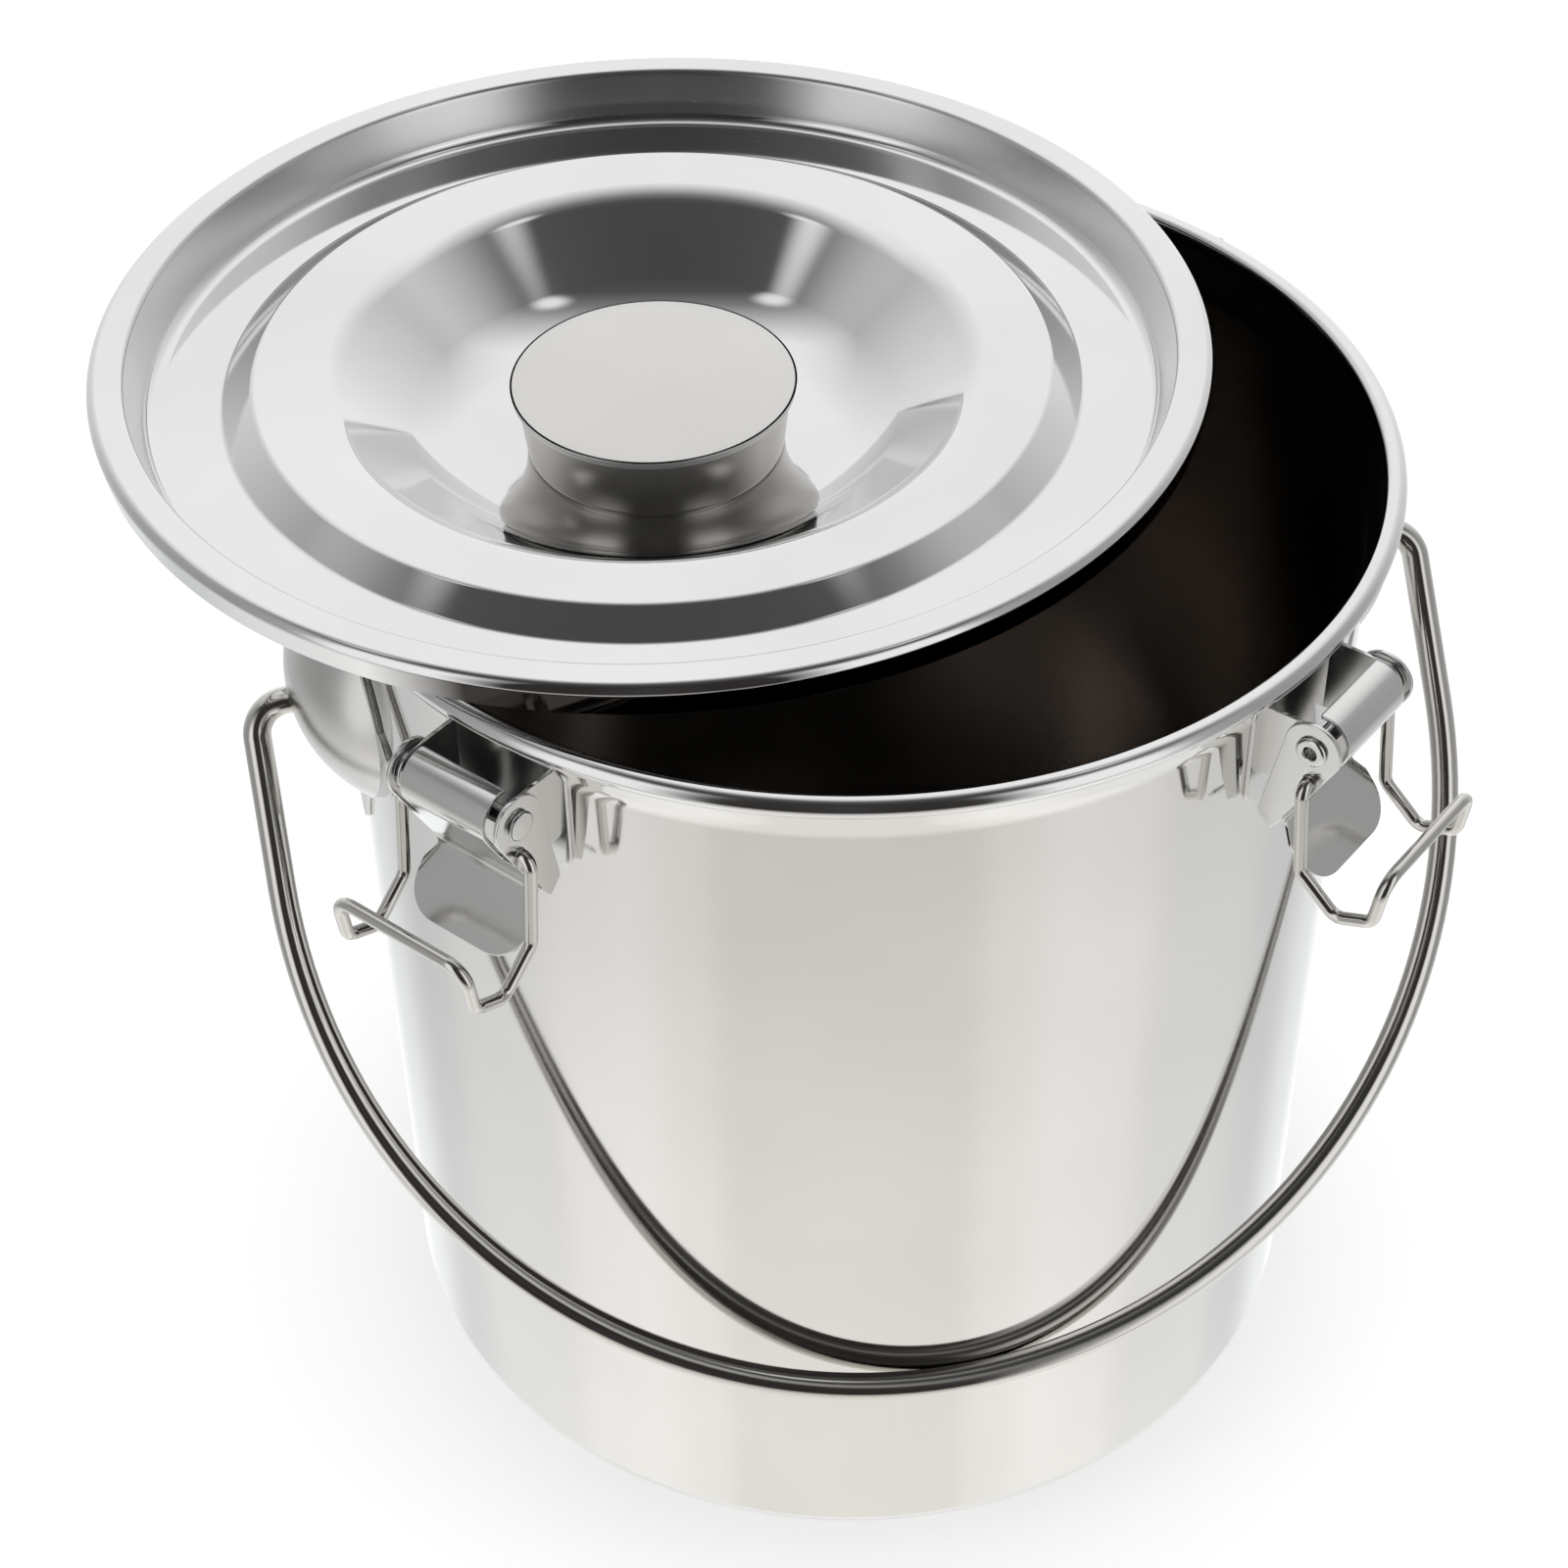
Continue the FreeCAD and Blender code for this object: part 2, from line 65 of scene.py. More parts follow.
NEAR_AXIS = 0.001         # radius of an outline's points on its axis
SAME_PLACE = 1e-3         # points nearer than this are one point

# pail
PAIL_R = 100.0
SHEET = 0.8
BEAD_Z = 207.6
BEAD_R = 2.1
BEAD_RING_R = 103.35
GROOVE_R = 68.0
GROOVE_HALF_W = 8.0
GROOVE_H = 1.5
CORNER_R = 2.0
FLARE_H = 9.0
CURL_END = -110.0

# lid, heights above its floor ring
LID_R = 108.7
LID_RIM_H = 10.6
LID_SKIRT_H = 4.3
LID_SKIRT_R = 107.7
LID_WALL_TOP_R = 101.5
LID_FLOOR_R = 98.1
LID_STEP_R = 84.0
LID_PLATEAU_R = 77.5
LID_PLATEAU_H = 4.3
LID_BOWL_R = 64.8
LID_BOWL_FOOT_R = 38.3
LID_BOWL_H = -15.8
LID_PAINTED_SHADE_AZ = 318.9       # from the lid's middle towards the open mouth, where the skirt's colour is painted near black as painted shade
SEAT_GAP = 0.03           # between the lid and what it touches
LID_LIFT = BEAD_Z + BEAD_R + SEAT_GAP + SHEET
SEAL_R = 1.8
KNOB_R = 28.2
KNOB_NECK_R = 25.6
KNOB_FOOT_R = 24.6
KNOB_H = 14.9
KNOB_SHEET = 0.9
SCREW_R = 2.9
SCREW_LENGTH = 8.5
SCREW_HEAD_R = 6.5
SCREW_HEAD_H = 2.6
WASHER_R = 9.0
WASHER_BORE_R = 3.05
WASHER_SHEET = 1.2

# bail and ears
HINGE_Z = BEAD_Z - 41.1
DOME_Z = BEAD_Z - 36.6    # centre of the ear's dome
DOME_R = 24.4
DOME_H = 12.5
EAR_SHEET = 1.0
DOME_SINK = 0.6           # the dome's foot ends inside the flange
BALL_R = (DOME_R ** 2 + DOME_H ** 2) / (2 * DOME_H)
BALL_X = PAIL_R + DOME_H - BALL_R      # centre of the ball that the dome is part of
FLANGE_MARGIN = 1.8
ROD_R = 2.75
ROD_GAP = 0.2             # running clearance in the ear
BAIL_BEND_R = 6.5
BAIL_HALF_W = 119.4
BAIL_STRAIGHT = 35.9
BAIL_WALL_GAP = 0.05
ROD_END_X = 104.0

# latches: x outwards, y along the wall, z up, from the rivet
LATCH_COUNT = 4
LATCH_FIRST_AZ = 39.0
PIVOT_R = 110.9
PIVOT_Z = BEAD_Z - 10.5
PLATE_HALF_U = 14
PLATE_TOP_H = 4.5
PLATE_BOTTOM_H = -18.6
BRACKET_SHEET = 0.9
BRACKET_HALF_U = 11.9
BRACKET_NOSE_R = 4.3
LEVER_SHEET = 0.9
LEVER_HALF_U = 12.9
CHEEK_NOSE_R = 5.6
BARREL_HALF_U = 9.6
BARREL_START = 100.0      # degrees round the rivet, from straight out
BARREL_END = -29.0
TAB_ROOT = (-4.8, -19.5)  # (x, z) where the web turns out into the thumb tab
TAB_TIP = (4.8, -30.9)
TAB_BEND_R = 3.0
TAB_HALF_U = 13.3
TAB_CORNER_R = 7.0
RIVET_R = 1.7
RIVET_GAP = 0.06          # running clearance in the lever
RIVET_HEAD_R = 3.5
RIVET_HEAD_H = 0.9
EYELET_R = 3.0
EYELET_BORE_R = 1.3
SIDE_GAP = 0.08           # between faces that slide past each other
WIRE_R = 1.25
WIRE_GAP = 0.06
LOOP_HALF_U = 15.2
LOOP_TIP_U = 11.3
HOLE = (0.2, -6.9)

# camera
VIEW_TURN = 14.0          # the view looks along +Y turned this far clockwise
CAMERA_BACK = 484.54      # millimetres from the pail's axis, level
CAMERA_UP = 552.87
CAMERA_PITCH = 41.732     # degrees, like yaw and roll
CAMERA_YAW = -1.615
CAMERA_ROLL = 0.982
CAMERA_LENS = 70.906


# ---------------------------------------------------------------- paths

def arc_samples(centre, radius, start, end, step=4.0):
    """(a, b, ta, tb) along an arc between two angles in degrees; t is the direction of travel."""
    count = max(2, math.ceil(abs(end - start) / step))
    way = 1 if end > start else -1
    samples = []
    for i in range(count + 1):
        angle = math.radians(start + (end - start) * i / count)
        c, s = math.cos(angle), math.sin(angle)
        samples.append((centre[0] + radius * c, centre[1] + radius * s, -way * s, way * c))
    return samples


def rounded_path(points, radii, step=4.0):
    """(a, b, ta, tb) along a 2-D path whose inner corners are rounded."""
    samples = []
    first = math.atan2(points[1][1] - points[0][1], points[1][0] - points[0][0])
    samples.append((*points[0], math.cos(first), math.sin(first)))
    for i in range(1, len(points) - 1):
        p, q = points[i], points[i + 1]
        second = math.atan2(q[1] - p[1], q[0] - p[0])
        angle = (second - first + math.pi) % (2 * math.pi) - math.pi
        radius = radii[i - 1]
        side = 1 if angle > 0 else -1
        cut = radius * math.tan(abs(angle) / 2)
        start = (p[0] - cut * math.cos(first), p[1] - cut * math.sin(first))
        centre = (start[0] - side * radius * math.sin(first), start[1] + side * radius * math.cos(first))
        begin = math.degrees(first) - side * 90
        samples += arc_samples(centre, radius, begin, begin + math.degrees(angle), step)
        first = second
    samples.append((*points[-1], math.cos(first), math.sin(first)))
    return samples


def rounded_loop(points, radii, step=12.0):
    """Plain 2-D points of a closed outline with its corners rounded."""
    middle = ((points[0][0] + points[-1][0]) / 2, (points[0][1] + points[-1][1]) / 2)
    loop = [s[:2] for s in rounded_path([middle] + list(points) + [middle], radii, step)[:-1]]
    return [p for p, q in zip(loop, loop[1:] + loop[:1]) if math.dist(p, q) > SAME_PLACE]


def sheet_loop(samples, thickness, tags=(0, 0), caps=(True, True)):
    """Profile (a, b, na, nb, tag) of a sheet whose left face follows the samples; ends are round."""
    half = thickness / 2
    left = [(a, b, -tb, ta, tags[0]) for a, b, ta, tb in samples]
    right = [(a + thickness * tb, b - thickness * ta, tb, -ta, tags[1]) for a, b, ta, tb in samples]

    def cap(sample, way, tag):
        a, b, ta, tb = sample
        centre = (a + half * tb, b - half * ta)
        round_end = []
        for i in range(1, 6):
            angle = math.pi * i / 6
            na = way * (-tb * math.cos(angle) + ta * math.sin(angle))
            nb = way * (ta * math.cos(angle) + tb * math.sin(angle))
            round_end.append((centre[0] + half * na, centre[1] + half * nb, na, nb, tag))
        return round_end

    loop = list(left)
    if caps[1]:
        loop += cap(samples[-1], 1, tags[1])
    loop += right[::-1]
    if caps[0]:
        loop += cap(samples[0], -1, tags[0])
    return loop


def rounded_in_space(points, radii, step=6.0):
    """(point, direction) along a 3-D path with rounded corners."""
    points = [Vector(p) for p in points]
    samples = [(points[0], (points[1] - points[0]).normalized())]
    for i in range(1, len(points) - 1):
        into = (points[i] - points[i - 1]).normalized()
        out = (points[i + 1] - points[i]).normalized()
        angle = into.angle(out)
        radius = radii[i - 1]
        start = points[i] - into * radius * math.tan(angle / 2)
        inward = (out - into * math.cos(angle)).normalized()
        count = max(2, math.ceil(math.degrees(angle) / step))
        for k in range(count + 1):
            t = angle * k / count
            place = start + into * radius * math.sin(t) + inward * radius * (1 - math.cos(t))
            samples.append((place, (into * math.cos(t) + inward * math.sin(t)).normalized()))
    samples.append((points[-1], (points[-1] - points[-2]).normalized()))
    return samples


# ---------------------------------------------------------------- meshes

def new_object(name, verts, faces, normals, materials, tags=None):
    """Object in metres from millimetre vertices, with one shading normal for each vertex."""
    mesh = bpy.data.meshes.new(name)
    mesh.from_pydata([Vector(v) * MM for v in verts], [], faces)
    for face, tag in zip(mesh.polygons, tags or [0] * len(faces)):
        face.material_index = tag
    outward = sum(Vector(normals[f[0]]).dot(mesh.polygons[i].normal) for i, f in enumerate(faces))
    if outward < 0:
        mesh.flip_normals()
    mesh.shade_smooth()
    mesh.normals_split_custom_set_from_vertices(normals)
    for material in materials:
        mesh.materials.append(material)
    obj = bpy.data.objects.new(name, mesh)
    bpy.context.scene.collection.objects.link(obj)
    return obj


def lathe(name, loop, materials, turns=240, closed=True):
    """A profile (r, z, nr, nz, tag) turned about Z. Rows on the axis shrink to one vertex."""
    verts, normals, rows = [], [], []
    for r, z, nr, nz, _ in loop:
        if r < 1e-6:
            rows.append([len(verts)] * turns)
            verts.append((0, 0, z))
            normals.append((0, 0, math.copysign(1, nz)))
            continue
        rows.append(range(len(verts), len(verts) + turns))
        for k in range(turns):
            angle = 2 * math.pi * k / turns
            c, s = math.cos(angle), math.sin(angle)
            verts.append((r * c, r * s, z))
            normals.append((nr * c, nr * s, nz))
    faces, tags = [], []
    for i in range(len(rows) if closed else len(rows) - 1):
        a, b = rows[i], rows[(i + 1) % len(rows)]
        if loop[i][0] < 1e-6 and loop[(i + 1) % len(rows)][0] < 1e-6:
            continue
        for k in range(turns):
            n = (k + 1) % turns
            face = [a[k], a[n], b[n], b[k]]
            faces.append([v for j, v in enumerate(face) if v not in face[:j]])
            tags.append(loop[i][4])
    return new_object(name, verts, faces, normals, materials, tags)


def sweep(name, samples, radius, material, sides=24):
    """Round wire along (point, direction) samples in millimetres, with softly rounded ends."""
    direction = samples[0][1]
    side = direction.orthogonal().normalized()
    verts, normals = [], []

    def add_ring(centre, u, v, r, tilt, axis):
        for k in range(sides):
            angle = 2 * math.pi * k / sides
            radial = u * math.cos(angle) + v * math.sin(angle)
            verts.append(centre + radial * r)
            normals.append(radial * math.cos(tilt) + axis * math.sin(tilt))

    edge = radius * 0.35
    last = len(samples) - 1
    for i, (point, direction) in enumerate(samples):
        side = (side - direction * side.dot(direction)).normalized()
        other = direction.cross(side)
        bends = range(4, 0, -1) if i == 0 else ()
        for k in bends:
            tilt = math.radians(90 * k / 4)
            r = radius - edge * (1 - math.cos(tilt))
            add_ring(point + direction * edge * (1 - math.sin(tilt)), side, other, r, tilt, -direction)
        shift = edge if i == 0 else -edge if i == last else 0
        add_ring(point + direction * shift, side, other, radius, 0, direction)
        bends = range(1, 5) if i == last else ()
        for k in bends:
            tilt = math.radians(90 * k / 4)
            r = radius - edge * (1 - math.cos(tilt))
            add_ring(point - direction * edge * (1 - math.sin(tilt)), side, other, r, tilt, direction)
    rings = len(verts) // sides
    faces = []
    for i in range(rings - 1):
        for k in range(sides):
            n = (k + 1) % sides
            faces.append([i * sides + k, i * sides + n, (i + 1) * sides + n, (i + 1) * sides + k])
    faces.append(list(range(sides))[::-1])
    faces.append(list(range((rings - 1) * sides, rings * sides)))
    return new_object(name, verts, faces, normals, [material])


def plate(outline, holes, thickness, edge):
    """Mesh of a flat plate in its own plane, thickness along z, with rounded edges."""
    curve = bpy.data.curves.new("plate", "CURVE")
    curve.dimensions = "2D"
    curve.fill_mode = "BOTH"
    curve.extrude = thickness / 2 - edge
    curve.bevel_depth = edge
    curve.bevel_resolution = 2
    curve.offset = -edge
    for loop in [outline] + holes:
        spline = curve.splines.new("POLY")
        spline.points.add(len(loop) - 1)
        for point, (a, b) in zip(spline.points, loop):
            point.co = (a, b, 0, 1)
        spline.use_cyclic_u = True
    obj = bpy.data.objects.new("plate", curve)
    bpy.context.scene.collection.objects.link(obj)
    graph = bpy.context.evaluated_depsgraph_get()
    mesh = bpy.data.meshes.new_from_object(obj.evaluated_get(graph))
    bpy.data.objects.remove(obj)
    bpy.data.curves.remove(curve)
    return mesh


def circle(radius, centre=(0, 0), count=32):
    """Points of a circle, for a hole or an outline."""
    angles = [2 * math.pi * k / count for k in range(count)]
    return [(centre[0] + radius * math.cos(a), centre[1] + radius * math.sin(a)) for a in angles]


def bent_object(name, parts, material):
    """One object from plates: each part is (mesh, cuts, place), place moves a point in space.

    cuts holds (axis, positions): the plate is divided there so that it can bend.
    """
    whole = bmesh.new()
    for mesh, cuts, place in parts:
        piece = bmesh.new()
        piece.from_mesh(mesh)
        bpy.data.meshes.remove(mesh)
        bmesh.ops.remove_doubles(piece, verts=piece.verts, dist=1e-4)
        for axis, positions in cuts:
            normal = Vector([float(i == axis) for i in range(3)])
            for position in positions:
                geometry = piece.verts[:] + piece.edges[:] + piece.faces[:]
                at = normal * position
                bmesh.ops.bisect_plane(piece, geom=geometry, dist=1e-5, plane_co=at, plane_no=normal)
        for vertex in piece.verts:
            vertex.co = place(*vertex.co) * MM
        bmesh.ops.recalc_face_normals(piece, faces=piece.faces)
        step = bpy.data.meshes.new("step")
        piece.to_mesh(step)
        piece.free()
        whole.from_mesh(step)
        bpy.data.meshes.remove(step)
    mesh = bpy.data.meshes.new(name)
    whole.to_mesh(mesh)
    whole.free()
    mesh.shade_smooth()
    mesh.materials.append(material)
    obj = bpy.data.objects.new(name, mesh)
    bpy.context.scene.collection.objects.link(obj)
    modifier = obj.modifiers.new("even_shading", "WEIGHTED_NORMAL")
    modifier.weight = 80
    return obj


def spaced(low, high, step):
    """Even positions between two ends, which are left out."""
    count = max(1, math.ceil((high - low) / step))
    return [low + (high - low) * i / count for i in range(1, count)]


# ---------------------------------------------------------------- materials

class Tree:
    """Short way to add shader nodes: values that are sockets get linked, others are set."""

    def __init__(self, owner):
        owner.use_nodes = True
        self.tree = owner.node_tree
        self.tree.nodes.clear()

    def add(self, kind, settings=None, **inputs):
        node = self.tree.nodes.new(kind)
        for key, value in (settings or {}).items():
            setattr(node, key, value)
        for key, value in inputs.items():
            place = int(key[1:]) if key[1:].isdigit() and key[0] == "i" else key.replace("_", " ")
            socket = node.inputs[place]
            if isinstance(value, bpy.types.NodeSocket):
                self.tree.links.new(value, socket)
            else:
                socket.default_value = value
        return node

    def math(self, operation, a, b=0.0, c=0.0, clamp=False):
        settings = {"operation": operation, "use_clamp": clamp}
        return self.add("ShaderNodeMath", settings, i0=a, i1=b, i2=c).outputs[0]

    def vector(self, operation, **inputs):
        return self.add("ShaderNodeVectorMath", {"operation": operation}, **inputs)

    def noise(self, vector, scale, detail=2.0, roughness=0.5):
        inputs = {"Vector": vector, "Scale": scale, "Detail": detail, "Roughness": roughness}
        return self.add("ShaderNodeTexNoise", **inputs).outputs[0]

    def stretch(self, vector, scale):
        return self.add("ShaderNodeMapping", Vector=vector, Scale=scale).outputs[0]

    def ramp(self, factor, stops, mode="LINEAR"):
        node = self.add("ShaderNodeValToRGB", Fac=factor)
        node.color_ramp.interpolation = mode
        elements = node.color_ramp.elements
        while len(elements) < len(stops):
            elements.new(1.0)
        for element, (position, colour) in zip(elements, stops):
            element.position = position
            element.color = (*colour, 1) if isinstance(colour, tuple) else (colour, colour, colour, 1)
        return node.outputs[0]

    def range(self, value, low, high, new_low, new_high):
        node = self.add("ShaderNodeMapRange", i0=value, i1=low, i2=high, i3=new_low, i4=new_high)
        return node.outputs[0]

    def mix(self, factor, a, b):
        node = self.add("ShaderNodeMix", {"data_type": "RGBA"}, i0=factor, i6=a, i7=b)
        return node.outputs[2]


def steel(name, colour, roughness, grain=(1, 1, 1), grain_depth=0.0, waviness=0.0, scratches=0.0,
          spread=0.02, painted_shade_side=None):
    """Stainless sheet: cloudy roughness, slight waviness, a directional grain and hairline scratches.

    Depths are in metres. grain stretches the grain noise; a small number is the direction it runs.
    The last argument gives a direction, in degrees round the axis. Towards it the base colour is painted
    near black: painted shade standing in for the dark hollow that the sheet would mirror there.
    """
    material = bpy.data.materials.new(name)
    t = Tree(material)
    place = t.add("ShaderNodeTexCoord").outputs["Object"]
    clouds = t.noise(place, 38.0, 4.0, 0.6)
    smudges = t.noise(place, 11.0, 3.0, 0.55)
    fine = t.noise(t.stretch(place, grain), 900.0, 3.0, 0.6)
    hair = t.noise(t.stretch(place, (1.0, 1.0, 9.0)), 260.0, 5.0, 0.75)
    scratch = t.math("MULTIPLY", t.math("GREATER_THAN", hair, 0.69), scratches)
    rough = t.range(clouds, 0.3, 0.7, max(roughness - spread, 0.01), roughness + spread)
    rough = t.math("ADD", rough, scratch, clamp=True)
    tint = tuple(c * 0.93 for c in colour)
    base = t.mix(t.range(smudges, 0.35, 0.65, 0.0, 1.0), (*colour, 1), (*tint, 1))
    # Painted shade: on the side facing the given direction, the base colour turns near black (0.035, 0.03,
    # 0.028), standing in for the dark open mouth that the sheet would mirror.
    if painted_shade_side is not None:
        flat = t.vector("MULTIPLY", i0=place, i1=(1.0, 1.0, 0.0)).outputs[0]
        flat = t.vector("NORMALIZE", i0=flat).outputs[0]
        aim = (math.cos(math.radians(painted_shade_side)), math.sin(math.radians(painted_shade_side)), 0.0)
        painted_shade_facing = t.vector("DOT_PRODUCT", i0=flat, i1=aim).outputs["Value"]
        base = t.mix(t.range(painted_shade_facing, 0.05, 0.22, 0.0, 1.0), base, (0.035, 0.03, 0.028, 1))
    wave = t.math("MULTIPLY", smudges, waviness)
    height = t.math("ADD", wave, t.math("MULTIPLY", fine, grain_depth))
    bump = t.add("ShaderNodeBump", Strength=1.0, Distance=1.0, Height=height).outputs[0]
    looks = {"Base_Color": base, "Metallic": 1.0, "Roughness": rough, "Normal": bump}
    shader = t.add("ShaderNodeBsdfPrincipled", **looks)
    t.add("ShaderNodeOutputMaterial", Surface=shader.outputs[0])
    return material


def silicone():
    """Pale seal with faint mould clouding."""
    material = bpy.data.materials.new("seal_silicone")
    t = Tree(material)
    place = t.add("ShaderNodeTexCoord").outputs["Object"]
    clouds = t.noise(place, 60.0, 3.0)
    base = t.mix(clouds, (0.80, 0.80, 0.77, 1), (0.88, 0.88, 0.86, 1))
    grain = t.noise(place, 700.0)
    bump = t.add("ShaderNodeBump", Strength=0.3, Distance=0.0002, Height=grain).outputs[0]
    shader = t.add("ShaderNodeBsdfPrincipled", Base_Color=base, Roughness=0.45, Normal=bump)
    t.add("ShaderNodeOutputMaterial", Surface=shader.outputs[0])
    return material


WALL = steel("wall_polished", (0.80, 0.79, 0.775), 0.07, (1, 1, 0.02), 1.5e-7, 6e-6, 0.05)
# Inside face of the pail sheet: the rougher grain is its finish, but the base colour, darker and browner
# than the wall's, is painted shade and painted brown reflection.
INSIDE_PAINTED_SHADE = steel("inside_polished_painted_shade", (0.50, 0.465, 0.435), 0.17, (1, 1, 0.05), 6e-7, 1e-5, 0.05)
LID = steel("lid_polished", (0.82, 0.82, 0.825), 0.06, (1, 1, 1), 0.0, 6e-6, 0.05)
# Skirt steel whose base colour is painted near black on the side over the open mouth: painted shade.
LID_SKIRT_PAINTED_SHADE = steel("lid_skirt_painted_shade", (0.82, 0.82, 0.825), 0.08, waviness=4e-6, painted_shade_side=LID_PAINTED_SHADE_AZ)
LID_BRUSHED = steel("lid_brushed_wall", (0.74, 0.74, 0.74), 0.22, (1, 1, 0.03), 2.5e-6, 5e-6, 0.08)
BEAD = steel("bead_polished", (0.82, 0.82, 0.82), 0.12, (1, 1, 1), 0.0, 4e-6, 0.04)
KNOB_TOP = steel("knob_satin", (0.70, 0.69, 0.675), 0.30, (1, 1, 1), 1e-6, 5e-6, 0.03)
# Side of the knob: the vertical grain is its finish, but the base colour, darker and browner than the
# top's, is painted shade and painted brown reflection.
KNOB_SIDE_PAINTED_SHADE = steel("knob_side_satin_painted_shade", (0.52, 0.50, 0.47), 0.24, (1, 1, 14), 2e-6, 5e-6, 0.04)
SATIN = steel("ear_satin", (0.72, 0.715, 0.70), 0.27, (1, 1, 12), 2e-6, 8e-6, 0.05, 0.05)
LATCH = steel("latch_bright", (0.78, 0.78, 0.77), 0.16, (1, 0.05, 1), 5e-7, 5e-6, 0.08)
WIRE = steel("wire_polished", (0.72, 0.705, 0.68), 0.10, (1, 1, 1), 0.0, 8e-7, 0.0)
SEAL = silicone()


# ---------------------------------------------------------------- pieces

def make_pail():
    """Base, wall and neck as one sheet that ends in the rolled rim."""
    neck = BEAD_RING_R - BEAD_R + SHEET
    groove_in, groove_out = GROOVE_R - GROOVE_HALF_W, GROOVE_R + GROOVE_HALF_W
    points = [(0, 0), (groove_in, 0), (groove_in + 3.5, GROOVE_H), (groove_out - 3.5, GROOVE_H),
              (groove_out, 0), (PAIL_R, 0), (PAIL_R, BEAD_Z - FLARE_H),
              (neck, BEAD_Z - 1.2), (neck, BEAD_Z)]
    outside = rounded_path(points, [2.5, 2.5, 2.5, 2.5, CORNER_R, 12.0, 9.0], 3.0)
    curl = arc_samples((BEAD_RING_R, BEAD_Z), BEAD_R - SHEET, 180, CURL_END, 7.0)
    samples = outside[:-1] + curl
    backwards = [(a, b, -ta, -tb) for a, b, ta, tb in samples[::-1]]
    loop = sheet_loop(backwards, SHEET, (0, 1), (True, False))
    bead_low = BEAD_Z - 1.4
    tagged = []
    for a, b, na, nb, tag in loop:
        tagged.append((a, b, na, nb, 2 if b > bead_low else tag))
    pail = lathe("pail_shell", tagged, [WALL, INSIDE_PAINTED_SHADE, BEAD], 320)
    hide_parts("pail_body")
    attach(pail, "pail")


def lid_matrix():
    """Place of the lid's own frame: its axis, at the height of its floor ring."""
    low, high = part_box("lid_shell")
    middle = (low + high) / 2
    return Matrix.Translation((middle.x, middle.y, LID_LIFT * MM))


def on_lid(obj, node):
    """Put a piece that was made in the lid's own frame on the lid."""
    obj.matrix_world = lid_matrix()
    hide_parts(node)
    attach(obj, "lid")


def make_lid():
    """Spun lid: bowl, plateau, step, floor ring, recess wall, rounded rim and hanging skirt."""
    points = [(3.0, LID_BOWL_H), (LID_BOWL_FOOT_R, LID_BOWL_H), (LID_BOWL_R, LID_PLATEAU_H),
              (LID_PLATEAU_R, LID_PLATEAU_H), (LID_STEP_R, 0), (LID_FLOOR_R, 0),
              (LID_WALL_TOP_R, LID_RIM_H), (LID_R, LID_RIM_H), (LID_SKIRT_R, LID_SKIRT_H)]
    top = rounded_path(points, [36.0, 14.0, 2.4, 2.0, 3.0, 1.6, 2.0], 2.0)
    loop = []
    for a, b, na, nb, tag in sheet_loop(top, SHEET):
        on_wall = LID_FLOOR_R + 0.4 < a < LID_WALL_TOP_R + 0.2 and nb > 0
        # Outer faces of the skirt get the skirt steel with its painted shade.
        on_skirt = na > 0.6 and b < LID_RIM_H - 1.9 and a > LID_WALL_TOP_R
        loop.append((a, b, na, nb, 1 if on_wall else 2 if on_skirt else tag))
    shell = lathe("lid_spinning", loop, [LID, LID_BRUSHED, LID_SKIRT_PAINTED_SHADE], 320)
    on_lid(shell, "lid_shell")


def solid_of_turning(name, points, radii, material, turns=96):
    """Turned solid or ring from a closed outline with rounded corners."""
    middle = ((points[0][0] + points[-1][0]) / 2, (points[0][1] + points[-1][1]) / 2)
    samples = rounded_path([middle] + points + [middle], radii, 10.0)[:-1]
    loop = [(a, b, tb, -ta, 0) for a, b, ta, tb in samples]
    return lathe(name, loop, [material], turns)


def make_lid_parts():
    """Seal under the rim and the knob with its washer and screw."""
    centre = ((LID_WALL_TOP_R + LID_R) / 2 - 0.3, LID_RIM_H - SHEET - SEAL_R - SEAT_GAP)
    section = [(a, b, tb, -ta, 0) for a, b, ta, tb in arc_samples(centre, SEAL_R, 0, 350, 10)]
    on_lid(lathe("lid_seal_ring", section, [SEAL], 240), "lid_seal")

    cap_top = LID_BOWL_H + KNOB_H
    points = [(0, cap_top + 0.25), (KNOB_R - 2.2, cap_top), (KNOB_R, cap_top - 0.35),
              (KNOB_R - 0.3, cap_top - 1.9), (KNOB_NECK_R + 0.5, cap_top - 3.4)]
    path = rounded_path(points, [30.0, 0.4, 0.6], 5.0)
    cap = lathe("knob_top", sheet_loop(path, KNOB_SHEET, caps=(False, True)), [KNOB_TOP], 160)
    on_lid(cap, "knob_cap")

    foot = LID_BOWL_H + 0.05
    points = [(KNOB_NECK_R + 0.5, cap_top - 2.0), (KNOB_FOOT_R, foot), (KNOB_FOOT_R - 6, foot)]
    path = [(a, b, -ta, -tb) for a, b, ta, tb in rounded_path(points, [1.2], 8.0)[::-1]]
    cup = lathe("knob_body", sheet_loop(path, KNOB_SHEET), [KNOB_SIDE_PAINTED_SHADE], 160)
    on_lid(cup, "knob_cup")

    under = LID_BOWL_H - SHEET
    seat = under - WASHER_SHEET
    points = [(WASHER_BORE_R, seat), (WASHER_R, seat), (WASHER_R, under), (WASHER_BORE_R, under)]
    on_lid(solid_of_turning("bowl_washer", points, [0.3] * 4, LATCH), "knob_washer")
    low, high = seat - SCREW_HEAD_H, seat + SCREW_LENGTH
    points = [(NEAR_AXIS, low), (SCREW_HEAD_R, low), (SCREW_HEAD_R, seat),
              (SCREW_R, seat), (SCREW_R, high), (NEAR_AXIS, high)]
    screw = solid_of_turning("knob_fixing_screw", points, [0.0, 1.9, 0.2, 0.2, 0.4, 0.0], LATCH)
    on_lid(screw, "knob_screw")


